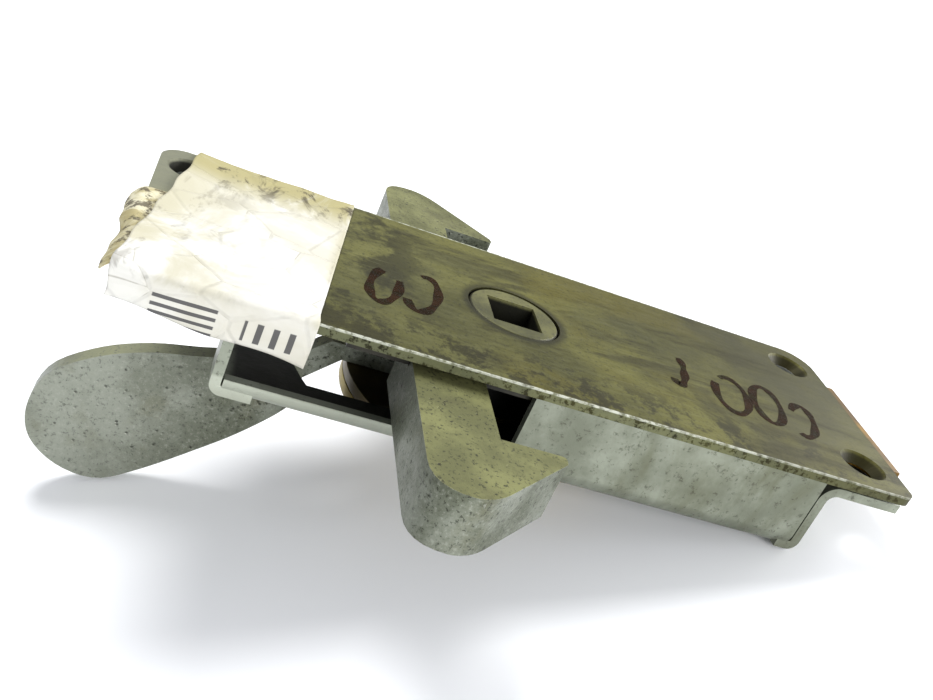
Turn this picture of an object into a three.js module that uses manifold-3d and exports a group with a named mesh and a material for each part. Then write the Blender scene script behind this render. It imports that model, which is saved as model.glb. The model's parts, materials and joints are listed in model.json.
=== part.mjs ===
// Rim latch with two opposed claws, a square spindle hub and a teardrop lever.
// Millimetres. +Z points out of the cover plate, +X runs along the plate towards the lever blade,
// and the origin is the hub's axis on the plate's outer face.
import * as THREE from 'three';
import * as BufferGeometryUtils from 'three/addons/utils/BufferGeometryUtils.js';
import Module from 'manifold-3d';

const wasm = await Module();
wasm.setup();

// ---------------------------------------------------------------- driving dimensions
const SHEET = 1.5;                  // every pressed sheet: plate, case, flanges
const SLACK = 0.08;                 // running clearance on a radius
const PLATE = { x0: -64, x1: 56.8, half: 22.6, corners: [5.5, 4.5, 4.5, 2.2] };
const SCREW = { x: [-57.6, 51.6], y: 15.6, rim: 3.9, hole: 2.3 };
const CASE = { half: 21.3, bottom: -15.4, top: -1.9, bend: 3, wallX0: -49.3, wallX1: 40.3 };
const WINDOW = { x0: -0.65, x1: 40.5, sill: -12.4 };
const FLANGE = { top: -2.6, x0: -63.6, x1: 56.4 };
const END_STRIP = { x: -51.4, half: 20.8 };      // outer face of the upright strip at the plain end
const LEG = { x: 42, inner: 15.5 };            // the two uprights at the lever end
const SOCKET = 8;                   // square spindle, across flats
const HUB = { boss: 7.4, body: 10.2, lower: 6.9, shoulder: -4.5, seat: -12.9, end: -21.4, flat: 6.2 };
const HORN = { reach: 16, tip: 3.4, root: 5, z0: -12.4, z1: -8.6, pin: 1.6 };
const CLAW = { x0: 6.8, x1: 17.6, inner: 12, throat: 34.2, reach: 48.5, tipX: -2.6, z0: -11, seat: -3.9,
  z1: -2.5 };
const YOKE = { x0: -8, x1: 26.5, bridge: 17.2, y0: 9.4, y1: 19.4, z0: -3.7, z1: -2.3 };
const DISC = { r: 21.9, half: 12.8, top: -15.5, thick: 1.8, gap: 0.1 };
const LEVER = { thick: 3, tailX: 11.6, tailTop: -12.7, tailBottom: -15.35 };
const SLOT = { x0: 9.2, r0: 11, r1: 32.1, half: 14.4 };  // the lever's sector slot in the case floor
const ROD = { y: 15.4, z: -8, r: 1.5, x0: -7.2, x1: -39 };
const SHIM = { gap: 0.15, lip: 1.3, y0: -11.5, y1: 14.7, tongue: -44, top: -0.1, z0: -2.4, z1: -1.7 };
const BRACKET = { x: -20, foot: -29.5, half: 18, top: -4.2 };
const SPRING = { x0: -20.3, x1: -36, mean: 2.6, wire: 0.4, turns: 8 };

const FLOOR_TOP = CASE.bottom + SHEET;
const PLATE_UNDER = -SHEET;

// ---------------------------------------------------------------- solids
function solid(geometry) {
  const bare = geometry.index ? geometry.clone() : geometry;
  bare.deleteAttribute('normal');
  bare.deleteAttribute('uv');
  const merged = BufferGeometryUtils.mergeVertices(bare, 1e-4);
  return new wasm.Manifold(new wasm.Mesh({
    numProp: 3,
    vertProperties: Float32Array.from(merged.attributes.position.array),
    triVerts: Uint32Array.from(merged.index.array),
  }));
}

function joined(solids) {
  return solids.reduce((sum, piece) => sum.add(piece));
}

function cut(body, tools) {
  return tools.reduce((rest, tool) => rest.subtract(tool), body);
}

function box(x0, x1, y0, y1, z0, z1) {
  const geometry = new THREE.BoxGeometry(x1 - x0, y1 - y0, z1 - z0);
  geometry.translate((x0 + x1) / 2, (y0 + y1) / 2, (z0 + z1) / 2);
  return solid(geometry);
}

function extruded(shape, depth, curveSegments = 8) {
  return new THREE.ExtrudeGeometry(shape, { depth, bevelEnabled: false, curveSegments });
}

function alongZ(shape, z0, z1, curveSegments) {
  return solid(extruded(shape, z1 - z0, curveSegments).translate(0, 0, z0));
}

// the shape's first axis becomes Y and its second Z
function alongX(shape, x0, x1, curveSegments) {
  const turn = new THREE.Matrix4().makeBasis(
    new THREE.Vector3(0, 1, 0), new THREE.Vector3(0, 0, 1), new THREE.Vector3(1, 0, 0));
  return solid(extruded(shape, x1 - x0, curveSegments).applyMatrix4(turn).translate(x0, 0, 0));
}

// the shape's first axis becomes X and its second Z
function alongY(shape, y0, y1, curveSegments) {
  const turn = new THREE.Matrix4().makeBasis(
    new THREE.Vector3(1, 0, 0), new THREE.Vector3(0, 0, 1), new THREE.Vector3(0, -1, 0));
  return solid(extruded(shape, y1 - y0, curveSegments).applyMatrix4(turn).translate(0, y1, 0));
}

// a turned piece about a line parallel to Z; profile holds [radius, z] from the axis back to the axis
function turned(profile, x = 0, y = 0, segments = 24) {
  const points = profile.map(([r, z]) => new THREE.Vector2(r, z));
  const geometry = new THREE.LatheGeometry(points, segments);
  geometry.rotateX(Math.PI / 2);
  return solid(geometry.translate(x, y, 0));
}

function drum(r, z0, z1, x = 0, y = 0, segments = 24) {
  return turned([[0, z0], [r, z0], [r, z1], [0, z1]], x, y, segments);
}

function ring(inner, outer, z0, z1, segments = 36) {
  return drum(outer, z0, z1, 0, 0, segments).subtract(drum(inner, z0 - 1, z1 + 1, 0, 0, segments));
}

// a round bar along X
function barX(r, x0, x1, y, z, segments = 16) {
  const geometry = new THREE.CylinderGeometry(r, r, x1 - x0, segments);
  geometry.rotateZ(Math.PI / 2);
  return solid(geometry.translate((x0 + x1) / 2, y, z));
}

function polygon(points) {
  return new THREE.Shape(points.map(([x, y]) => new THREE.Vector2(x, y)));
}

// radii run from the corner at x0, y0 anticlockwise
function roundedRect(x0, x1, y0, y1, [r00, r10, r11, r01]) {
  const shape = new THREE.Shape();
  shape.moveTo(x0 + r00, y0);
  shape.lineTo(x1 - r10, y0);
  shape.absarc(x1 - r10, y0 + r10, r10, -Math.PI / 2, 0, false);
  shape.lineTo(x1, y1 - r11);
  shape.absarc(x1 - r11, y1 - r11, r11, 0, Math.PI / 2, false);
  shape.lineTo(x0 + r01, y1);
  shape.absarc(x0 + r01, y1 - r01, r01, Math.PI / 2, Math.PI, false);
  shape.lineTo(x0, y0 + r00);
  shape.absarc(x0 + r00, y0 + r00, r00, Math.PI, Math.PI * 1.5, false);
  return shape;
}

// ---------------------------------------------------------------- materials
function finish(name, color, roughness, metalness) {
  return new THREE.MeshStandardMaterial({ name, color, roughness, metalness });
}

const FINISH = {
  plate: finish('tarnished_plate', 0x83856c, 0.5, 0.8),
  sheet: finish('zinc_sheet', 0xa3a698, 0.55, 0.7),
  oiled: finish('greased_steel', 0x2b2a24, 0.45, 0.6),
  cast: finish('cast_steel', 0x8d8f7c, 0.65, 0.6),
  hub: finish('sintered_hub', 0x9b9d92, 0.5, 0.8),
  brass: finish('brass_disc', 0x8f7a2e, 0.4, 0.9),
  bronze: finish('bronze_disc', 0x5f5026, 0.5, 0.8),
  steel: finish('bright_steel', 0x8a8c8c, 0.35, 0.9),
  shim: finish('amber_shim', 0xd9a23a, 0.4, 0),
  paper: finish('paper_label', 0xe8e4d8, 0.85, 0),
};

const latch = new THREE.Group();

function place(name, body, material) {
  const mesh = body.getMesh();
  const geometry = new THREE.BufferGeometry();
  geometry.setAttribute('position', new THREE.BufferAttribute(mesh.vertProperties, 3));
  geometry.setIndex(new THREE.BufferAttribute(mesh.triVerts, 1));
  geometry.computeVertexNormals();
  const node = new THREE.Mesh(geometry, material);
  node.name = name;
  latch.add(node);
}

// ---------------------------------------------------------------- fixed sheet metal
function screwPlaces() {
  return SCREW.x.flatMap((x) => [-SCREW.y, SCREW.y].map((y) => [x, y]));
}

function coverPlate() {
  const blank = alongZ(
    roundedRect(PLATE.x0, PLATE.x1, -PLATE.half, PLATE.half, PLATE.corners), PLATE_UNDER, 0);
  const deep = PLATE_UNDER - 0.5;
  const spread = (SCREW.rim - SCREW.hole) / SHEET;
  const sinks = screwPlaces().map(([x, y]) => turned(
    [[0, deep], [SCREW.hole, deep], [SCREW.hole, PLATE_UNDER], [SCREW.rim + spread * 0.5, 0.5], [0, 0.5]],
    x, y, 28));
  return cut(blank, [drum(HUB.boss + 0.3, -3, 1, 0, 0, 48), ...sinks]);
}

// the folded channel: floor and both side walls, seen from its end
function channelSection() {
  const { half, bottom, top, bend } = CASE;
  const inner = bend - SHEET;
  const shape = new THREE.Shape();
  shape.moveTo(-half, top);
  shape.lineTo(-half, bottom + bend);
  shape.absarc(-half + bend, bottom + bend, bend, Math.PI, Math.PI * 1.5, false);
  shape.lineTo(half - bend, bottom);
  shape.absarc(half - bend, bottom + bend, bend, -Math.PI / 2, 0, false);
  shape.lineTo(half, top);
  shape.lineTo(half - SHEET, top);
  shape.lineTo(half - SHEET, bottom + bend);
  shape.absarc(half - bend, bottom + bend, inner, 0, -Math.PI / 2, true);
  shape.lineTo(-half + bend, FLOOR_TOP);
  shape.absarc(-half + bend, bottom + bend, inner, -Math.PI / 2, -Math.PI, true);
  shape.lineTo(-half + SHEET, top);
  return shape;
}

// the end strip, seen from the side: floor, bend, upright, second bend and flange.
// side is +1 where the flange points to +X and -1 where it points to -X.
function stripSection(side, face, inboard, tip) {
  const bend = 3;
  const inner = bend - SHEET;
  const foot = SHEET + 0.3;
  const z = FLANGE.top;
  const at = (distance) => face + side * distance;
  const arcTo = (shape, x, y, r, from, to) => {
    const start = side > 0 ? from : Math.PI - from;
    const end = side > 0 ? to : Math.PI - to;
    shape.absarc(x, y, r, start, end, side > 0 ? to < from : to > from);
  };
  const shape = new THREE.Shape();
  shape.moveTo(inboard, CASE.bottom);
  shape.lineTo(at(-foot), CASE.bottom);
  arcTo(shape, at(-foot), CASE.bottom + foot, foot, -Math.PI / 2, 0);
  shape.lineTo(at(0), z - SHEET - inner);
  arcTo(shape, at(inner), z - SHEET - inner, inner, Math.PI, Math.PI / 2);
  shape.lineTo(tip, z - SHEET);
  shape.lineTo(tip, z);
  shape.lineTo(at(inner), z);
  arcTo(shape, at(inner), z - bend, bend, Math.PI / 2, Math.PI);
  shape.lineTo(at(-SHEET), CASE.bottom + foot);
  arcTo(shape, at(-foot), CASE.bottom + foot, foot - SHEET, 0, -Math.PI / 2);
  shape.lineTo(inboard, FLOOR_TOP);
  return shape;
}

// the part of a ring-shaped slot that lies within SLOT.half of the lever's rest line
function leverSlot() {
  const z0 = CASE.bottom - 1;
  const z1 = FLOOR_TOP + 1;
  const sector = drum(SLOT.r1, z0, z1, 0, 0, 64).subtract(drum(SLOT.r0, z0 - 1, z1 + 1, 0, 0, 40));
  return sector.intersect(box(0, SLOT.r1 + 1, -SLOT.half, SLOT.half, z0, z1))
    .subtract(box(-1, SLOT.x0, -SLOT.half - 1, SLOT.half + 1, z0 - 1, z1 + 1));
}

function bracketRivetPlaces() {
  return [[-25.4, -7], [-25.4, 7]];
}

function caseShell() {
  const channel = alongX(channelSection(), CASE.wallX0, CASE.wallX1, 6);
  const windows = [[-CASE.half - 0.5, -17.3], [17.3, CASE.half + 0.5]].map(
    ([y0, y1]) => box(WINDOW.x0, WINDOW.x1, y0, y1, WINDOW.sill, 0));
  const plainEnd = alongY(
    stripSection(-1, END_STRIP.x, -47.6, FLANGE.x0), -END_STRIP.half, END_STRIP.half, 5);
  const leverEnd = alongY(stripSection(1, LEG.x, 36, FLANGE.x1), -END_STRIP.half, END_STRIP.half, 5);
  const legGap = box(35, LEG.x + 1.4, -LEG.inner, LEG.inner, CASE.bottom - 1, FLANGE.top + 1);
  const floorKept = box(35, LEG.x - 4, -LEG.inner - 1, LEG.inner + 1, CASE.bottom - 1, FLOOR_TOP + 0.5);
  const relief = [[-30, -18.6], [18.6, 30]].map(
    ([y0, y1]) => box(CASE.wallX0 - 1, CASE.wallX0 + 0.01, y0, y1, FLOOR_TOP + 0.2, -1));
  const ends = joined([plainEnd, leverEnd.subtract(legGap.subtract(floorKept))]);
  const shell = joined([cut(channel, [...windows, ...relief]), ends]);
  const screwHoles = screwPlaces().map(([x, y]) => drum(SCREW.hole, -6, 0, x, y, 28));
  const rivetHoles = bracketRivetPlaces().map(([x, y]) => drum(1.6, -18, -12, x, y, 16));
  return cut(shell, [leverSlot(), drum(8.65, -18, -12, 0, 0, 36), ...screwHoles, ...rivetHoles]);
}

function endShim() {
  const { gap, lip, y0, y1, tongue, top, z0, z1 } = SHIM;
  const inner = PLATE.x0 - gap;
  const blank = box(inner - lip, tongue, y0, y1, z0, z1);
  const upturn = box(inner - lip, inner, y0, y1, z0, top);
  return cut(blank.add(upturn), screwPlaces().map(([x, y]) => drum(SCREW.hole + 1.5, -4, 0, x, y, 24)));
}

// a paper sticker: on the plate, folded over its long edge, and past the plate's end
function paperLabel() {
  const onTop = alongZ(polygon([
    [25.7, -18.6], [51.4, -19], [57.6, 2], [58.4, 15.7], [57.6, 23.4], [31.4, 23.4],
  ]), 0.12, 0.5);
  const flap = alongY(polygon([
    [31.4, 0.5], [57.6, 0.5], [57.6, -4.8], [52, -5], [44, -6.7], [38.6, -7.7], [31.6, -8], [31.2, -4.2],
  ]), 22.9, 23.4);
  return onTop.add(flap);
}

function rivet(x, y, shank, head, low, high) {
  return turned([
    [0, low - 0.8], [head * 0.7, low - 0.8], [head, low - 0.3], [head, low], [shank, low],
    [shank, high], [head, high], [head, high + 0.3], [head * 0.7, high + 0.8], [0, high + 0.8],
  ], x, y, 16);
}

function springBracket() {
  const { x, foot, half, top } = BRACKET;
  const z = FLOOR_TOP + 0.1;
  const plate = joined([
    box(foot, x, -half, half, z, z + 1.4),
    box(x - 0.01, x + 1.4, -half, half, z, top),
  ]);
  const rodHoles = [-1, 1].map((side) => barX(ROD.r + 0.4, x - 1, x + 3, side * ROD.y, ROD.z));
  const rivetHoles = bracketRivetPlaces().map(([rx, ry]) => drum(1.6, -18, -8, rx, ry, 16));
  return cut(plate, [...rodHoles, ...rivetHoles]);
}

function floorBush() {
  const { lower, seat } = HUB;
  const sleeve = ring(lower + SLACK, 8.5, CASE.bottom + 0.1, FLOOR_TOP + 0.1);
  return sleeve.add(ring(lower + SLACK, 10, FLOOR_TOP + 0.08, seat - 0.1));
}

// ---------------------------------------------------------------- turning pieces
function hubFollower() {
  const { boss, body, lower, shoulder, seat, end, flat } = HUB;
  const core = turned([
    [0, end], [lower - 0.4, end], [lower, end + 0.4], [lower, -20.4], [6.2, -20.4], [6.2, -19.5],
    [lower, -19.5], [lower, seat], [body, seat], [body, shoulder], [boss, shoulder],
    [boss, -0.35], [boss - 0.3, -0.05], [0, -0.05],
  ], 0, 0, 48);
  const arm = polygon([
    [-HORN.root, -4], [-HORN.tip, -HORN.reach], [HORN.tip, -HORN.reach], [HORN.root, -4],
  ]);
  const horn = alongZ(arm, HORN.z0, HORN.z1).add(drum(HORN.tip, HORN.z0, HORN.z1, 0, -HORN.reach, 24));
  const flats = [-1, 1].map((side) => box(
    Math.min(side * flat, side * 9), Math.max(side * flat, side * 9), -9, 9, end - 1, DISC.top + 0.05));
  const side = SOCKET / 2;
  const socket = box(-side, side, -side, side, end - 1, 1);
  const pinHole = drum(HORN.pin + 0.1, HORN.z0 - 1, HORN.z1 + 1, 0, -HORN.reach);
  return cut(core.add(horn), [...flats, socket, pinHole]);
}

function drivePin() {
  return drum(HORN.pin, HORN.z0, YOKE.z1 + 0.1, 0, -HORN.reach, 20);
}

function leverRivetPlaces() {
  return [14.5, 19.5];
}

function drivenDisc(top) {
  const bottom = top - DISC.thick;
  const bore = drum(HUB.lower + 0.1, bottom - 1, top + 1, 0, 0, 48);
  const keyed = bore.intersect(box(-HUB.flat - 0.1, HUB.flat + 0.1, -9, 9, bottom - 2, top + 2));
  const rivetHoles = leverRivetPlaces().map((x) => drum(0.95, bottom - 1, top + 1, x, 0, 12));
  const blank = drum(DISC.r, bottom, top, 0, 0, 64)
    .intersect(box(-DISC.r, DISC.r, -DISC.half, DISC.half, bottom - 1, top + 1));
  return cut(blank, [keyed, ...rivetHoles]);
}

// the lever seen from its side: a flat tail on the discs, a neck down through the floor and the blade
function leverOutline() {
  const { tailX, tailTop, tailBottom } = LEVER;
  const shape = new THREE.Shape();
  shape.moveTo(tailX, tailBottom);
  shape.lineTo(22.7, tailBottom);
  shape.lineTo(27.6, -20.4);
  shape.splineThru([
    [26.8, -23], [28.6, -27], [33.5, -32.7], [38.6, -37.5], [46.2, -44], [52.2, -47.7],
    [58.4, -47], [63.3, -43.2], [64.8, -37.6], [63, -31.2], [57, -26.2], [50, -23.1],
    [42.3, -21.3], [35.5, -19.2], [29.2, -16.4], [26.8, -14.2],
  ].map(([x, z]) => new THREE.Vector2(x, z)));
  shape.lineTo(25, tailTop);
  shape.lineTo(tailX, tailTop);
  return shape;
}

function leverHandle() {
  const blank = alongY(leverOutline(), -LEVER.thick / 2, LEVER.thick / 2, 4);
  const holes = leverRivetPlaces().map((x) => drum(0.95, -16, -13.4, x, 0, 12));
  return cut(blank, holes);
}

function leverRivet(x) {
  const low = DISC.top - 2 * DISC.thick - DISC.gap - 0.05;
  return turned([
    [0, low - 0.6], [1.3, low - 0.6], [1.9, low - 0.2], [1.9, low], [0.85, low], [0.85, -13.6], [0, -13.6],
  ], x, 0, 12);
}

function retainingRing() {
  const whole = ring(6.35, 9.3, -20.3, -19.6);
  return whole.subtract(box(-2.2, 2.2, 0, 12, -21, -19));
}

function hubWasher() {
  return ring(HUB.boss + 0.2, 9.1, HUB.shoulder + 0.1, PLATE_UNDER - 0.1);
}

// ---------------------------------------------------------------- sliding pieces
// the claw on the +Y side; the other one is its mirror image
function clawOutline(side) {
  const { x0, x1, inner, throat, reach, tipX } = CLAW;
  const corner = 5.4;
  const nose = 0.9;
  const shape = new THREE.Shape();
  shape.moveTo(x0, side * inner);
  shape.lineTo(x0, side * throat);
  shape.lineTo(tipX + nose, side * throat);
  shape.quadraticCurveTo(tipX - 0.3, side * throat, tipX + 0.3, side * (throat + 1.8));
  shape.lineTo(x0 + 0.6, side * (reach - 2.4));
  shape.quadraticCurveTo(x0 + 2.9, side * (reach - 0.1), x1 - corner, side * reach);
  shape.quadraticCurveTo(x1, side * (reach - 0.2), x1, side * (reach - corner));
  shape.lineTo(x1, side * inner);
  return shape;
}

function clawRivetPlaces(side) {
  return [[9.9, side * 15.7], [14.7, side * 15.7]];
}

// the shank is stepped down inside the case, where the yoke lies on it
function claw(side) {
  const [y0, y1] = side > 0 ? [19.7, 60] : [-60, -19.7];
  const upper = alongZ(clawOutline(side), CLAW.seat - 0.01, CLAW.z1, 6).intersect(box(-9, 30, y0, y1, -9, 0));
  const blank = alongZ(clawOutline(side), CLAW.z0, CLAW.seat, 6).add(upper);
  return cut(blank, clawRivetPlaces(side).map(([x, y]) => drum(1.6, -8.2, 0, x, y, 16)));
}

function clawRivet(x, y) {
  return turned([
    [0, -8], [1.5, -8], [1.5, YOKE.z1 + 0.02], [2.4, YOKE.z1 + 0.02], [2.4, -2.05], [2, -1.85], [0, -1.85],
  ], x, y, 16);
}

function slideYoke() {
  const { x0, x1, bridge, y0, y1, z0, z1 } = YOKE;
  const tab = 1.4;
  const arms = [-1, 1].map((side) => {
    const low = Math.min(side * y0, side * y1);
    const high = Math.max(side * y0, side * y1);
    const tabLow = Math.min(side * 12, side * 19.2);
    const tabHigh = Math.max(side * 12, side * 19.2);
    return box(x0, x1, low, high, z0, z1).add(box(x0 - tab, x0 + 0.01, tabLow, tabHigh, -11.4, z1));
  });
  const whole = joined([...arms, box(bridge, x1, -y1, y1, z0, z1)]);
  const slotHalf = HORN.pin + 0.45;
  const pinSlot = box(-slotHalf, slotHalf, -HORN.reach - 1.9, -12.3, z0 - 1, z1 + 1);
  const rodHoles = [-1, 1].map((side) => barX(ROD.r + 0.1, x0 - 3, x0 + 1, side * ROD.y, ROD.z));
  const rivetHoles = [-1, 1].flatMap((side) => clawRivetPlaces(side)
    .map(([x, y]) => drum(1.6, z0 - 1, z1 + 1, x, y, 16)));
  return cut(whole, [pinSlot, ...rodHoles, ...rivetHoles]);
}

function springRod(side) {
  const y = side * ROD.y;
  return barX(ROD.r, ROD.x1, ROD.x0 - 0.5, y, ROD.z).add(barX(2.4, ROD.x0 - 0.7, ROD.x0 + 0.3, y, ROD.z));
}

function rodNut(side) {
  const x1 = SPRING.x1 - 0.3;
  const nut = barX(3.2, x1 - 2, x1, side * ROD.y, ROD.z, 6);
  return nut.subtract(barX(ROD.r + 0.1, x1 - 3, x1 + 1, side * ROD.y, ROD.z));
}

class CoilPath extends THREE.Curve {
  constructor(side) {
    super();
    this.side = side;
  }

  getPoint(t, target = new THREE.Vector3()) {
    const angle = t * SPRING.turns * 2 * Math.PI;
    const inset = SPRING.wire + 0.1;
    return target.set(
      THREE.MathUtils.lerp(SPRING.x0 - inset, SPRING.x1 + inset, t),
      this.side * ROD.y + SPRING.mean * Math.cos(angle),
      ROD.z + SPRING.mean * Math.sin(angle));
  }
}

function returnSpring(side) {
  const wire = new THREE.Shape();
  wire.absarc(0, 0, SPRING.wire, 0, Math.PI * 2, false);
  return solid(new THREE.ExtrudeGeometry(wire, {
    extrudePath: new CoilPath(side), steps: SPRING.turns * 12, bevelEnabled: false, curveSegments: 3,
  }));
}

// ---------------------------------------------------------------- the assembly
const SIDES = [['left', 1], ['right', -1]];      // left is +Y, seen on the plate with the lever up

place('cover_plate', coverPlate(), FINISH.plate);
place('case_shell', caseShell(), FINISH.sheet);
place('end_shim', endShim(), FINISH.shim);
place('paper_label', paperLabel(), FINISH.paper);
place('spring_bracket', springBracket(), FINISH.oiled);
place('floor_bush', floorBush(), FINISH.bronze);
bracketRivetPlaces().forEach(([x, y], i) => {
  place(`bracket_rivet_${i + 1}`, rivet(x, y, 1.5, 2.8, CASE.bottom - 0.1, FLOOR_TOP + 1.6), FINISH.steel);
});

place('hub_follower', hubFollower(), FINISH.hub);
place('hub_washer', hubWasher(), FINISH.steel);
place('drive_pin', drivePin(), FINISH.steel);
place('upper_disc', drivenDisc(DISC.top), FINISH.bronze);
place('lower_disc', drivenDisc(DISC.top - DISC.thick - DISC.gap), FINISH.brass);
place('lever_handle', leverHandle(), FINISH.cast);
leverRivetPlaces().forEach((x, i) => place(`lever_rivet_${i + 1}`, leverRivet(x), FINISH.steel));
place('retaining_ring', retainingRing(), FINISH.steel);

place('slide_yoke', slideYoke(), FINISH.oiled);
for (const [name, side] of SIDES) {
  place(`${name}_claw`, claw(side), FINISH.cast);
  clawRivetPlaces(side).forEach(([x, y], i) => {
    place(`${name}_claw_rivet_${i + 1}`, clawRivet(x, y), FINISH.steel);
  });
  place(`${name}_spring_rod`, springRod(side), FINISH.steel);
  place(`${name}_rod_nut`, rodNut(side), FINISH.steel);
  place(`${name}_return_spring`, returnSpring(side), FINISH.steel);
}

export default latch;
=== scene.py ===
import json
import math

import bmesh
import bpy
from mathutils import Matrix, Vector, noise


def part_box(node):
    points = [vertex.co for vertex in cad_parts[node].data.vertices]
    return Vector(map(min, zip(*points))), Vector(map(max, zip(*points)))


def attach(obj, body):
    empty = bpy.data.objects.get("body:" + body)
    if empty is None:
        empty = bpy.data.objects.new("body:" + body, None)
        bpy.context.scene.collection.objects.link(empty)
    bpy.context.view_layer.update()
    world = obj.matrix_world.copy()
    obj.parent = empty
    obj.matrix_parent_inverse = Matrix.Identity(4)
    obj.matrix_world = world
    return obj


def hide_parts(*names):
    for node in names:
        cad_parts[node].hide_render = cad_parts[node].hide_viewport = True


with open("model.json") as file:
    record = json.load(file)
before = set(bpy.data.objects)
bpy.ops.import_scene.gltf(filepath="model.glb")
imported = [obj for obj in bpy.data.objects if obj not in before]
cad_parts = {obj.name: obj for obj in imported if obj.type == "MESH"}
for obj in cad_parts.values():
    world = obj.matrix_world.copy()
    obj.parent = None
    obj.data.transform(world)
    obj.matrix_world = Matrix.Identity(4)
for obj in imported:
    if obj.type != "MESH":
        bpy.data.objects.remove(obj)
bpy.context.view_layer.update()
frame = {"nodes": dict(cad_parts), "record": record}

MM = 0.001
BODIES = frame["record"]["behaviour"]["bodies"]
SLOTS = {s["node"]: s["material_slot"] for s in frame["record"]["subparts"]}
PLATE_LO, PLATE_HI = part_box("cover_plate")


# ---------------------------------------------------------------- node helpers
class Nodes:
    """A short way to wire a material."""

    def __init__(self, name):
        self.mat = bpy.data.materials.new(name)
        self.mat.use_nodes = True
        self.tree = self.mat.node_tree
        self.tree.nodes.clear()
        self.out = self.add("ShaderNodeOutputMaterial")
        self.coord = self.add("ShaderNodeTexCoord").outputs["Object"]

    def add(self, kind, **values):
        node = self.tree.nodes.new(kind)
        for key, value in values.items():
            setattr(node, key, value)
        return node

    def link(self, source, target):
        if isinstance(source, (int, float, tuple)):
            target.default_value = source
        else:
            self.tree.links.new(source, target)

    def stretched(self, scale, turn=0.0):
        mapping = self.add("ShaderNodeMapping")
        mapping.inputs["Scale"].default_value = scale
        mapping.inputs["Rotation"].default_value = (0, 0, turn)
        self.link(self.coord, mapping.inputs["Vector"])
        return mapping.outputs["Vector"]

    def noise(self, scale, detail=5.0, rough=0.6, vector=None, distortion=0.0):
        node = self.add("ShaderNodeTexNoise")
        node.inputs["Scale"].default_value = scale
        node.inputs["Detail"].default_value = detail
        node.inputs["Roughness"].default_value = rough
        node.inputs["Distortion"].default_value = distortion
        self.link(vector or self.coord, node.inputs["Vector"])
        return node.outputs["Fac"]

    def cells(self, scale, vector=None, feature="F1"):
        node = self.add("ShaderNodeTexVoronoi", feature=feature)
        node.inputs["Scale"].default_value = scale
        self.link(vector or self.coord, node.inputs["Vector"])
        return node.outputs["Distance"]

    def band(self, value, low, high, to_low=0.0, to_high=1.0):
        node = self.add("ShaderNodeMapRange", interpolation_type="SMOOTHSTEP")
        self.link(value, node.inputs["Value"])
        limits = {"From Min": low, "From Max": high, "To Min": to_low, "To Max": to_high}
        for key, number in limits.items():
            node.inputs[key].default_value = number
        return node.outputs["Result"]

    def math(self, kind, a, b=0.0):
        node = self.add("ShaderNodeMath", operation=kind)
        self.link(a, node.inputs[0])
        self.link(b, node.inputs[1])
        return node.outputs[0]

    def times(self, first, *others):
        for other in others:
            first = self.math("MULTIPLY", first, other)
        return first

    def within(self, place, low, high, to_low=0.0, to_high=1.0):
        """band() for a place on the object, with its limits in millimetres."""
        return self.band(place, low * MM, high * MM, to_low, to_high)

    def wave(self, place, length):
        """A sine along a place, with its wavelength in millimetres."""
        return self.math("SINE", self.math("MULTIPLY", place, 2 * math.pi / (length * MM)))

    def mix(self, factor, a, b):
        node = self.add("ShaderNodeMix", data_type="RGBA")
        self.link(factor, node.inputs[0])
        self.link(a, node.inputs[6])
        self.link(b, node.inputs[7])
        return node.outputs[2]

    def coat(self, color, code, mask, strength=1.0):
        """Another colour over the first, where the mask lets it through."""
        factor = mask if strength == 1.0 else self.times(mask, strength)
        return self.mix(factor, color, rgb(code))

    def from_hub(self):
        """The distance from the hub's axis."""
        node = self.add("ShaderNodeVectorMath", operation="LENGTH")
        self.link(self.stretched((1, 1, 0)), node.inputs[0])
        return node.outputs["Value"]

    def axis(self, index, vector=None):
        node = self.add("ShaderNodeSeparateXYZ")
        self.link(vector or self.coord, node.inputs[0])
        return node.outputs[index]

    def facing(self, index):
        """The face's own direction along an axis of the object, not of the camera."""
        node = self.add("ShaderNodeTexCoord")
        return self.axis(index, node.outputs["Normal"])

    def bump(self, height, strength, distance, normal=None):
        node = self.add("ShaderNodeBump")
        node.inputs["Strength"].default_value = strength
        node.inputs["Distance"].default_value = distance
        self.link(height, node.inputs["Height"])
        if normal is not None:
            self.link(normal, node.inputs["Normal"])
        return node.outputs["Normal"]

    def finish(self, color, rough, metal, normal=None, **constants):
        shader = self.add("ShaderNodeBsdfPrincipled")
        self.link(color, shader.inputs["Base Color"])
        self.link(rough, shader.inputs["Roughness"])
        self.link(metal, shader.inputs["Metallic"])
        if normal is not None:
            self.link(normal, shader.inputs["Normal"])
        for key, value in constants.items():
            shader.inputs[key.replace("_", " ")].default_value = value
        self.link(shader.outputs[0], self.out.inputs["Surface"])
        self.shader = shader
        return self.mat


def rgb(code):
    """A screen colour as linear light."""
    parts = [int(code[i:i + 2], 16) / 255 for i in (0, 2, 4)]
    return tuple(c / 12.92 if c <= 0.04045 else ((c + 0.055) / 1.055) ** 2.4 for c in parts) + (1.0,)


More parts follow.
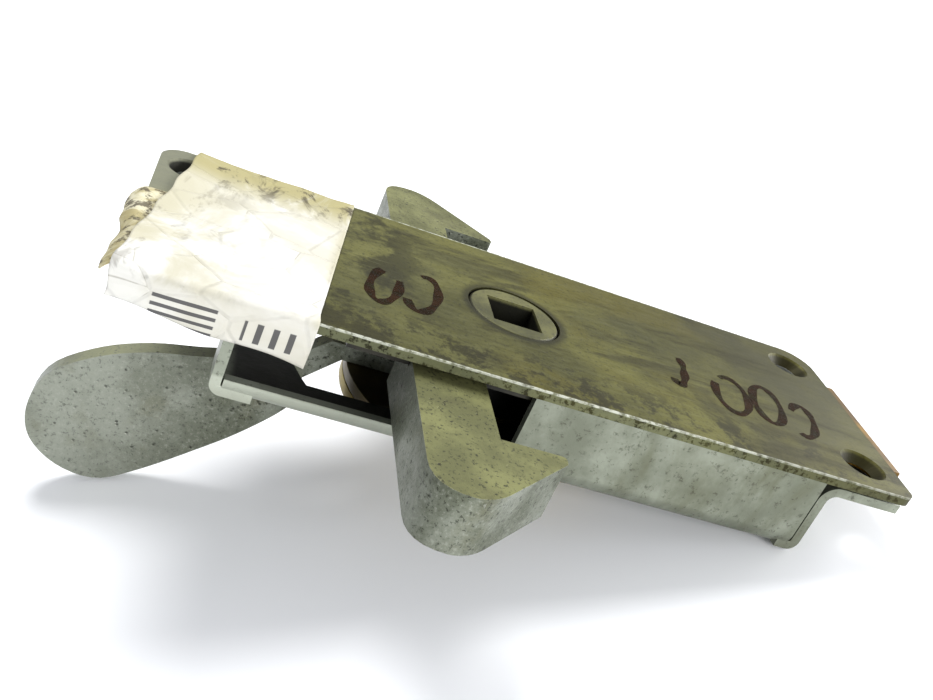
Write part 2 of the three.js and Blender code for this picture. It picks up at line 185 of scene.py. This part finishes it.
# ---------------------------------------------------------------- materials
def plate_tarnish(n, cloud, smear, grain, speck):
    """Olive tarnish in clouds and smears, a little cleaner between the hub and the lever end."""
    blotch = n.noise(24, 5, 0.6, n.stretched((1, 1, 1), 1.1), 0.6)
    color = n.mix(n.band(cloud, 0.38, 0.62), rgb("42411f"), rgb("5e5c2e"))
    color = n.coat(color, "2f2d18", n.band(smear, 0.48, 0.62, 0, 0.8))
    color = n.coat(color, "55501f", n.band(blotch, 0.5, 0.62, 0, 0.75))
    cleaner = n.times(n.within(n.axis(0), -6, 14), n.band(n.noise(50, 5), 0.4, 0.6, 0.2, 0.9))
    color = n.coat(color, "5e5e3c", cleaner, 0.35)
    color = n.coat(color, "201f14", n.band(speck, 0.53, 0.66, 0, 0.6))
    return n.coat(color, "7a7a58", n.band(grain, 0.4, 0.65, 0, 0.12))


def plate_smudges(n, color):
    """Dark dirt beside the label and along the near edge, and a line of it round the hub."""
    x = n.axis(0)
    by_label = n.times(n.within(x, 8, 22), n.band(n.noise(75, 6, 0.7), 0.47, 0.58), n.within(x, 46, 50, 1, 0))
    by_edge = n.times(n.within(n.axis(1), 9, 18), n.band(n.noise(130, 7, 0.75), 0.48, 0.56))
    smudge = n.math("MAXIMUM", n.times(by_label, 0.75), n.times(by_edge, 0.75))
    color = n.coat(color, "1f1d10", smudge)
    color = n.coat(color, "8b8d80", n.within(x, 50, 53, 0, 0.45))
    return n.coat(color, "17160e", n.within(n.from_hub(), 7.9, 9.5, 0.7, 0))


def plate_edges(n, color):
    """Painted shade, nearly black, in the countersinks and on the underside, and long edges painted bright
    along their upper arris, as rubbed wear and as a painted highlight.
    """
    z = n.axis(2)
    edge = n.math("ABSOLUTE", n.axis(1))
    # painted shade: nearly black in the countersinks and on the underside over the case
    inside = n.times(n.within(edge, 20.8, 21.2, 1, 0), n.within(z, -0.5, -0.12, 1, 0))
    color = n.coat(color, "10100d", inside, 0.92)
    pitted = n.mix(n.band(n.noise(800, 5, 0.7), 0.5, 0.6), rgb("64674f"), rgb("23231a"))
    color = n.mix(n.times(n.within(edge, 22.3, 22.5), 0.7), color, pitted)
    # upper arris of the long edges painted bright, as rubbed wear and as a painted highlight
    level = n.times(n.within(z, -0.34, -0.2), n.within(edge, 22.2, 22.4))
    wear_and_highlight = n.times(level, n.band(n.noise(900, 5, 0.7), 0.38, 0.58, 0.15, 1))
    return n.coat(color, "b9bbae", wear_and_highlight, 0.85)


def plate_metal():
    n = Nodes("tarnished_plate")
    cloud = n.noise(30, 6, 0.62)
    smear = n.noise(42, 6, 0.65, n.stretched((0.6, 1.5, 1.0), 0.25), 1.2)
    grain = n.noise(900, 3, 0.6, n.stretched((0.3, 1.0, 1.0)))
    speck = n.noise(1500, 4, 0.7)
    color = plate_tarnish(n, cloud, smear, grain, speck)
    color = plate_smudges(n, color)
    color = plate_edges(n, color)
    lines = n.cells(70, n.stretched((0.12, 3.2, 1), 0.5), "DISTANCE_TO_EDGE")
    scratch = n.times(n.band(lines, 0.0, 0.008, 1, 0), n.band(n.noise(60), 0.54, 0.66))
    color = n.coat(color, "8a8a68", scratch, 0.3)
    color = n.coat(color, "292506", n.within(n.axis(0), -10, -60, 0, 0.5))
    rough = n.band(n.math("ADD", cloud, smear), 0.75, 1.25, 0.42, 0.6)
    normal = n.bump(grain, 0.15, 0.00005)
    normal = n.bump(speck, 0.3, 0.00008, normal)
    normal = n.bump(scratch, 0.35, 0.00005, normal)
    return n.finish(color, rough, 0.5, normal, Specular_IOR_Level=0.12)


def zinc_sheet():
    """Grey zinc: nearly black painted shade inside the case, and a painted highlight on the bend under the
    open window.
    """
    n = Nodes("zinc_sheet")
    x = n.axis(0)
    side = n.math("ABSOLUTE", n.axis(1))
    depth = n.axis(2)
    cloud = n.noise(45, 6, 0.65)
    run = n.noise(34, 6, 0.65, n.stretched((1.5, 1.0, 0.5)), 1.0)
    speck = n.noise(1200, 4, 0.72)
    spot = n.noise(420, 4, 0.6)
    color = n.mix(n.band(cloud, 0.37, 0.63), rgb("666a5c"), rgb("898e80"))
    color = n.coat(color, "4e4f38", n.band(run, 0.5, 0.68, 0, 0.6))
    color = n.coat(color, "37372b", n.band(speck, 0.55, 0.68, 0, 0.6))
    color = n.coat(color, "24231b", n.band(spot, 0.7, 0.74, 0, 0.6))
    # painted shade: the inside faces of the case, nearly black
    across = n.times(n.within(side, 19.7, 19.9, 1, 0), n.within(depth, -15.2, -14.9))
    along = n.times(n.within(x, -49.7, -49.4), n.within(x, 38.5, 40.5, 1, 0))
    color = n.coat(color, "15140f", n.times(across, along), 0.93)
    # painted highlight: the outer bend under the open window made bright
    bend = n.times(n.within(side, 18.3, 19.3), n.within(depth, -12.1, -12.8), n.within(x, -2, 4, 0, 0.6))
    color = n.coat(color, "b4b8a9", bend)
    foot = n.times(n.within(depth, -13.5, -15.5), n.band(n.noise(120, 5), 0.42, 0.6))
    color = n.coat(color, "4a4636", foot, 0.2)
    rough = n.band(cloud, 0.35, 0.65, 0.5, 0.34)
    normal = n.bump(speck, 0.35, 0.00012)
    normal = n.bump(n.noise(260, 3), 0.2, 0.0002, normal)
    return n.finish(color, rough, 0.55, normal, Specular_IOR_Level=0.3)


def cast_steel(name, across):
    """Rough cast steel, painted bright where a flat face turns into the side, as rubbed wear and as a painted
    highlight; across is that face's axis.
    """
    n = Nodes(name)
    cloud = n.noise(60, 6, 0.62)
    speck = n.noise(1700, 5, 0.75)
    top = n.band(n.facing(2), 0.5, 0.9)
    not_top = n.math("SUBTRACT", 1.0, top)
    khaki = n.mix(n.band(cloud, 0.4, 0.62), rgb("5a5b3a"), rgb("7b7c50"))
    grey = n.mix(n.band(cloud, 0.4, 0.62), rgb("535748"), rgb("7b7f73"))
    color = n.mix(top, grey, khaki)
    color = n.coat(color, "504f34", n.band(n.noise(110, 5, 0.6), 0.54, 0.68, 0, 0.5))
    color = n.coat(color, "1d1d14", n.band(speck, 0.55, 0.64, 0, 0.85))
    color = n.coat(color, "a9aba0", n.times(n.band(speck, 0.46, 0.36, 0, 0.25), not_top))
    color = n.coat(color, "a2a69a", n.within(n.axis(0), 25, 55, 0, 0.28))
    few = n.band(n.noise(420, 3), 0.52, 0.62)
    hole = n.times(few, n.math("SUBTRACT", 1.0, n.band(n.cells(900), 0.0, 0.32)))
    color = n.coat(color, "1c1b14", hole, 0.8)
    # painted bright along the arris: rubbed wear and a painted highlight
    turn = n.math("ABSOLUTE", n.facing(across))
    arris = n.times(n.band(turn, 0.25, 0.45), n.band(turn, 0.95, 0.8))
    color = n.coat(color, "b4b6a8", n.times(arris, n.band(n.noise(260, 5, 0.7), 0.4, 0.6, 0.1, 0.85)))
    normal = n.bump(speck, 0.4, 0.00016)
    normal = n.bump(n.times(hole, -1.0), 0.7, 0.0003, normal)
    normal = n.bump(n.noise(180, 4), 0.25, 0.0005, normal)
    return n.finish(color, n.band(cloud, 0.35, 0.65, 0.55, 0.4), 0.5, normal, Specular_IOR_Level=0.3)


def hub_metal():
    n = Nodes("satin_hub")
    cloud = n.noise(80, 6, 0.65)
    speck = n.noise(1400, 4, 0.7)
    color = n.mix(n.band(cloud, 0.36, 0.64), rgb("45452b"), rgb("63623f"))
    color = n.coat(color, "3b3a30", n.band(speck, 0.54, 0.66, 0, 0.6))
    color = n.coat(color, "24231b", n.within(n.from_hub(), 7.0, 7.3), 0.8)
    # painted shade: the hub's socket walls below its top face, near black
    color = n.coat(color, "080807", n.within(n.axis(2), -0.15, -0.8), 0.95)
    normal = n.bump(speck, 0.3, 0.0001)
    return n.finish(color, n.band(cloud, 0.3, 0.7, 0.42, 0.6), 0.4, normal, Specular_IOR_Level=0.2)


def simple_metal(name, dark, light, rough, metal, scale=600):
    n = Nodes(name)
    cloud = n.noise(90, 5, 0.6)
    fine = n.noise(scale, 4, 0.65)
    color = n.mix(n.band(cloud, 0.35, 0.65), rgb(dark), rgb(light))
    color = n.coat(color, "3a382c", n.band(fine, 0.56, 0.7, 0, 0.45))
    normal = n.bump(fine, 0.25, 0.00008)
    return n.finish(color, n.band(cloud, 0.3, 0.7, rough - 0.08, rough + 0.1), metal, normal)


def amber():
    n = Nodes("amber_shim")
    color = n.mix(n.band(n.noise(120, 4), 0.35, 0.65), rgb("4a3506"), rgb("7a590c"))
    normal = n.bump(n.noise(700, 3), 0.15, 0.0001)
    return n.finish(color, 0.38, 0.0, normal, Specular_IOR_Level=0.2)


def printed_bars(n, x, z):
    """A plain group of printed bars on the hanging flap, with a row of ticks beside them."""
    low = n.within(z, -1.2, -1.4)
    along = n.times(n.within(x, 43.8, 44.0), n.within(x, 52.2, 52.0))
    bars = n.times(along, low, n.band(n.wave(z, 1.2), 0.1, 0.3))
    row = n.times(n.within(z, -5.2, -5.0), n.within(z, -2.0, -2.2))
    part = n.times(n.within(x, 32.5, 32.7), n.within(x, 40.5, 40.3))
    ticks = n.times(n.band(n.wave(x, 2.1), 0.25, 0.4), row, part)
    return n.math("MINIMUM", n.math("ADD", bars, ticks), 0.88)


def label_paper():
    """Creased white paper, stained at the far edge, the lever end and the edge by the hub."""
    n = Nodes("paper_label")
    x = n.axis(0)
    y = n.axis(1)
    z = n.axis(2)
    stain = n.noise(55, 6, 0.62, distortion=1.0)
    blot = n.noise(110, 5, 0.7, n.stretched((1.3, 0.8, 1)), 0.6)
    crease = n.cells(130, n.stretched((0.8, 1.0, 1.0), 0.4), "DISTANCE_TO_EDGE")
    lever_end = n.times(n.within(x, 36, 56), 0.45)
    far_edge = n.within(y, -19, -6, 1, 0)
    hub_edge = n.within(n.math("SUBTRACT", x, n.times(y, 0.13)), 28, 30.5, 0.5, 0)
    reach = n.math("MAXIMUM", n.math("MAXIMUM", lever_end, far_edge), hub_edge)
    spread = n.times(reach, n.within(z, -1.2, 0))
    color = n.mix(n.band(stain, 0.35, 0.65), rgb("c4c3bd"), rgb("b4b1a4"))
    color = n.coat(color, "8a8250", n.times(n.band(stain, 0.4, 0.55), spread), 0.9)
    color = n.coat(color, "38301a", n.times(n.band(blot, 0.52, 0.62), spread), 0.95)
    fold = n.times(n.band(crease, 0.0, 0.012, 1, 0), n.band(n.noise(150, 4), 0.48, 0.62, 0, 0.5))
    color = n.coat(color, "5e5844", fold)
    color = n.coat(color, "1d1d24", printed_bars(n, x, z))
    normal = n.bump(n.band(crease, 0, 0.06), 0.45, 0.0004)
    normal = n.bump(n.noise(2400, 3), 0.2, 0.00005, normal)
    normal = n.bump(n.noise(90, 4), 0.4, 0.0009, normal)
    return n.finish(color, 0.8, 0.0, normal)


def dirty_paper():
    n = Nodes("dirty_paper")
    stain = n.noise(160, 6, 0.7, distortion=0.8)
    color = n.mix(n.band(stain, 0.38, 0.6), rgb("c2bda2"), rgb("948a60"))
    color = n.coat(color, "352b16", n.band(n.noise(420, 5, 0.7), 0.5, 0.6, 0, 0.85))
    normal = n.bump(stain, 0.12, 0.0001)
    normal = n.bump(n.noise(1500, 3), 0.25, 0.0001, normal)
    return n.finish(color, 0.85, 0.0, normal)


def marker_ink():
    n = Nodes("marker_ink")
    patch = n.noise(420, 5, 0.65)
    color = n.mix(n.band(patch, 0.35, 0.65), rgb("140b05"), rgb("281809"))
    n.finish(color, 0.7, 0.0, Specular_IOR_Level=0.05)
    n.link(n.band(patch, 0.3, 0.6, 0.5, 0.9), n.shader.inputs["Alpha"])
    return n.mat


MATERIALS = {
    "plate": plate_metal(),
    "sheet": zinc_sheet(),
    "cast": cast_steel("cast_claw", 2),
    "lever": cast_steel("cast_lever", 1),
    "hub": hub_metal(),
    "brass": simple_metal("brass_disc", "6e5e22", "9c8a3c", 0.4, 0.75),
    "bronze": simple_metal("bronze_disc", "3a3018", "5f5230", 0.4, 0.7),
    "steel": simple_metal("bright_steel", "85877f", "b0b2aa", 0.35, 0.85, 1100),
    # painted shade: the yoke and spring bracket inside the case, steel painted nearly black
    "oiled": simple_metal("greased_steel", "14130f", "2b2920", 0.4, 0.5, 800),
    "shim": amber(),
    "dirty": dirty_paper(),
    "paper": label_paper(),
}


# ---------------------------------------------------------------- new pieces
def piece_from(name, data, finish):
    """An object in the scene made from a mesh, with one material."""
    piece = bpy.data.objects.new(name, data)
    bpy.context.scene.collection.objects.link(piece)
    data.materials.append(finish)
    return piece


def mesh_data(name, mesh):
    """Smooth mesh data from a bmesh, which is freed."""
    data = bpy.data.meshes.new(name)
    mesh.to_mesh(data)
    mesh.free()
    for face in data.polygons:
        face.use_smooth = True
    return data


# ---------------------------------------------------------------- worked-over copies of the CAD pieces
# bevel widths in millimetres
EDGE = {"cover_plate": 0.42, "case_shell": 0.3, "left_claw": 0.4, "right_claw": 0.4, "lever_handle": 1.0,
        "upper_disc": 0.3, "lower_disc": 0.35, "slide_yoke": 0.25, "spring_bracket": 0.25}
SMALL_EDGE = 0.12
WIDE_EDGE = 0.5                     # bevels wider than this get a third segment
SHARP = math.radians(32)            # edges that turn more than this are worn
WELD = 0.002 * MM


def finished(node, body):
    """A copy of a CAD piece with its corners worn round."""
    source = frame["nodes"][node]
    mesh = bmesh.new()
    mesh.from_mesh(source.data)
    bmesh.ops.remove_doubles(mesh, verts=mesh.verts, dist=WELD)
    finish = MATERIALS["lever" if node == "lever_handle" else SLOTS[node]]
    piece = piece_from(node + "_worn", mesh_data(node + "_worn", mesh), finish)
    width = EDGE.get(node, SMALL_EDGE)
    bevel = piece.modifiers.new("worn_edges", "BEVEL")
    bevel.width = width * MM
    bevel.segments = 3 if width > WIDE_EDGE else 2
    bevel.limit_method = "ANGLE"
    bevel.angle_limit = SHARP
    bevel.use_clamp_overlap = True
    weighted = piece.modifiers.new("even_shading", "WEIGHTED_NORMAL")
    weighted.keep_sharp = True
    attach(piece, body)
    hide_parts(node)


for body, members in BODIES.items():
    for node in members:
        if node != "paper_label":
            finished(node, body)


# ---------------------------------------------------------------- the paper label
PAPER = 0.14 * MM                   # thickness of one layer
LABEL_HUB_X = 25.4 * MM             # the label's hub side and lever side at the plate's far edge
LABEL_LEVER_X = 51.2 * MM
LABEL_LEAN = (6.0 * MM, 6.4 * MM)   # how far each side has moved towards the lever end at the near edge
LEAN_ENDS = 0.82                    # share of the label's length over which it leans
HANG = 7.5 * MM                     # length of the part that hangs over the near edge


def crumple(x, y, size):
    first = noise.noise(Vector((x * 90, y * 90, 3.1)))
    second = noise.noise(Vector((x * 260, y * 260, 7.7)))
    ridge = 1 - abs(noise.noise(Vector((x * 140 + 4, y * 120, 1.4)))) * 2
    return size * (0.55 * first + 0.25 * second + 0.3 * ridge)


def label_point(u, v):
    """u runs from the hub side to the lever side, and v from the far edge over the near edge, both 0 to 1."""
    lean = min(v / LEAN_ENDS, 1)
    inner = LABEL_HUB_X + LABEL_LEAN[0] * lean
    outer = LABEL_LEVER_X + LABEL_LEAN[1] * lean + 0.2 * MM * math.sin(v * 31)
    x = inner + (outer - inner) * u
    edge = PLATE_HI.y + 0.2 * MM
    far = PLATE_LO.y + 0.4 * MM + 0.2 * MM * math.sin(u * 14)
    flat = edge - far
    path = v * (flat + HANG)
    if path <= flat:
        y = far + path
        loose = 0.5 * MM * max(0.0, u - 0.8) / 0.2
        return Vector((x, y, 0.22 * MM + max(0.0, crumple(x, y, 0.26 * MM)) + loose))
    part = (path - flat) / HANG
    drop = (6.8 - 2.4 * u - 0.3 * math.sin(u * 9)) * MM
    bulge = max(-0.15 * MM, crumple(x, part * 15 * MM, 0.3 * MM))
    swing = 0.3 * MM * math.sin(part * math.pi)
    return Vector((x, edge + 0.2 * MM + swing + bulge, 0.1 * MM - drop * part))


def flap_point(u, v):
    """The dirty second layer: u runs out past the label's lever side, v from its far end to the near edge."""
    ragged = 0.3 * math.sin(v * 9) + 0.3 * noise.noise(Vector((v * 7, 2.0, 5.0)))
    x = 52.8 + (5.8 + ragged) * u
    y = min(-3.5 + 26.8 * v + 1.2 * u, 22.9)
    bent = max(0.0, u - 0.66) / 0.34
    wave = 0.1 * u * math.sin(v * 11 + u * 3)
    return Vector((x, y, 0.1 + 0.3 * u + wave - 1.6 * bent * bent)) * MM


def sheet_of(name, point, across, along, finish):
    """A thin sheet through point(u, v), on the housing."""
    mesh = bmesh.new()
    rows = []
    for j in range(along + 1):
        rows.append([mesh.verts.new(point(i / across, j / along)) for i in range(across + 1)])
    for near, far in zip(rows, rows[1:]):
        for i in range(across):
            mesh.faces.new((near[i], near[i + 1], far[i + 1], far[i]))
    piece = piece_from(name, mesh_data(name, mesh), MATERIALS[finish])
    body = piece.modifiers.new("paper_thickness", "SOLIDIFY")
    body.thickness = PAPER
    body.offset = 1
    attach(piece, "housing")
    return piece


label = sheet_of("paper_label_sheet", label_point, 96, 110, "paper")
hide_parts("paper_label")
sheet_of("paper_label_flap", flap_point, 48, 96, "dirty")


# ---------------------------------------------------------------- pen strokes on the plate
INK = marker_ink()
INK_WIDTH = 1.7                     # millimetres, before the line's swelling and thinning
INK_HEIGHT = 0.03 * MM              # above the plate's face


def stroke(name, points):
    """A flat pen line through points on the plate's face, in millimetres."""
    left = []
    right = []
    count = len(points)
    for i, (x, y) in enumerate(points):
        before = Vector(points[max(i - 1, 0)])
        after = Vector(points[min(i + 1, count - 1)])
        along = (after - before).normalized()
        half = INK_WIDTH * (0.4 + 0.1 * math.sin(i * 0.9))
        left.append(((x - along.y * half) * MM, (y + along.x * half) * MM, INK_HEIGHT))
        right.append(((x + along.y * half) * MM, (y - along.x * half) * MM, INK_HEIGHT))
    data = bpy.data.meshes.new(name)
    data.from_pydata(left + right, [], [(i, i + 1, count + i + 1, count + i) for i in range(count - 1)])
    piece = piece_from(name, data, INK)
    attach(piece, "housing")


def loop(cx, cy, rx, ry, start, end, lean):
    """Points of a leaning arc about cx, cy, from one angle to another in degrees."""
    steps = 26
    points = []
    for i in range(steps + 1):
        a = math.radians(start + (end - start) * i / steps)
        points.append((cx + rx * math.cos(a) + lean * ry * math.sin(a), cy + ry * math.sin(a)))
    return points


STROKES = [
    loop(-28.5, 2.0, 1.2, 5.2, 40, 250, 0.25),
    loop(-37.5, 5.0, 3.0, 6.0, -30, 300, 0.2),
    loop(-44.5, 4.5, 2.6, 6.2, 20, 380, 0.2),
    loop(-50.5, 6.5, 2.2, 5.4, 60, 330, 0.3),
    loop(15.5, 3.5, 2.4, 6.4, 30, 290, 0.2),
    loop(21.5, 4.5, 2.2, 6.0, -60, 210, 0.2),
]
for index, points in enumerate(STROKES):
    stroke(f"pen_stroke_{index + 1}", points)


# ---------------------------------------------------------------- floor, light and camera
# the latch lies on its lever and the plain end of its case, so in the latch's frame the floor is tilted
UP_FROM_FLOOR = Vector((0.3056, 0.0, 0.952)).normalized()
FLOOR_GAP = 0.2 * MM
FLOOR_HALF = 6.0
EYE = Vector((0.052, 0.1447, 0.0609))
EYE_RIGHT = Vector((-0.918, 0.120, 0.378)).normalized()
EYE_AHEAD = Vector((-0.283, -0.865, -0.414)).normalized()


def lowest_along(normal):
    return min(normal.dot(v.co) for o in frame["nodes"].values() for v in o.data.vertices)


def floor_finish():
    """Pale and matt from above, and clear from below."""
    n = Nodes("pale_floor")
    color = n.mix(n.band(n.noise(3, 3), 0.3, 0.7), (0.86, 0.87, 0.89, 1), (0.9, 0.905, 0.92, 1))
    n.finish(color, 0.6, 0.0)
    clear = n.add("ShaderNodeBsdfTransparent")
    choose = n.add("ShaderNodeMixShader")
    side = n.add("ShaderNodeNewGeometry")
    n.link(side.outputs["Backfacing"], choose.inputs[0])
    n.link(n.shader.outputs[0], choose.inputs[1])
    n.link(clear.outputs[0], choose.inputs[2])
    n.link(choose.outputs[0], n.out.inputs["Surface"])
    return n.mat


def floor():
    data = bpy.data.meshes.new("floor")
    h = FLOOR_HALF
    data.from_pydata([(-h, -h, 0), (h, -h, 0), (h, h, 0), (-h, h, 0)], [], [(0, 1, 2, 3)])
    piece = piece_from("floor", data, floor_finish())
    piece.rotation_mode = "QUATERNION"
    piece.rotation_quaternion = Vector((0, 0, 1)).rotation_difference(UP_FROM_FLOOR)
    piece.location = UP_FROM_FLOOR * (lowest_along(UP_FROM_FLOOR) - FLOOR_GAP)


def area_light(name, place, target, size, power):
    data = bpy.data.lights.new(name, "AREA")
    data.shape = "DISK"
    data.size = size
    data.energy = power
    lamp = bpy.data.objects.new(name, data)
    lamp.location = place
    lamp.rotation_euler = (Vector(target) - Vector(place)).to_track_quat("-Z", "Y").to_euler()
    bpy.context.scene.collection.objects.link(lamp)


def surroundings():
    world = bpy.data.worlds.new("studio")
    world.use_nodes = True
    sky = world.node_tree.nodes["Background"]
    sky.inputs["Color"].default_value = (0.93, 0.95, 1.0, 1)
    sky.inputs["Strength"].default_value = 0.66
    bpy.context.scene.world = world
    bpy.context.scene.view_settings.view_transform = "Standard"


def camera():
    data = bpy.data.cameras.new("camera")
    data.sensor_width = 36.0
    data.lens = 41.36
    data.clip_start = 0.01
    data.clip_end = 50
    eye = bpy.data.objects.new("camera", data)
    bpy.context.scene.collection.objects.link(eye)
    turn = Matrix((EYE_RIGHT, EYE_RIGHT.cross(EYE_AHEAD), -EYE_AHEAD)).transposed()
    eye.matrix_world = Matrix.Translation(EYE) @ turn.to_4x4()
    bpy.context.scene.camera = eye


floor()
area_light("key", (0.2, -0.3, 0.55), (0, 0, 0), 0.35, 4.6)
area_light("fill", (-0.15, 0.5, 0.2), (0, 0, -0.01), 0.3, 3.0)
area_light("rim", (-0.45, -0.2, 0.3), (0, 0, 0), 0.3, 3.0)
surroundings()
camera()
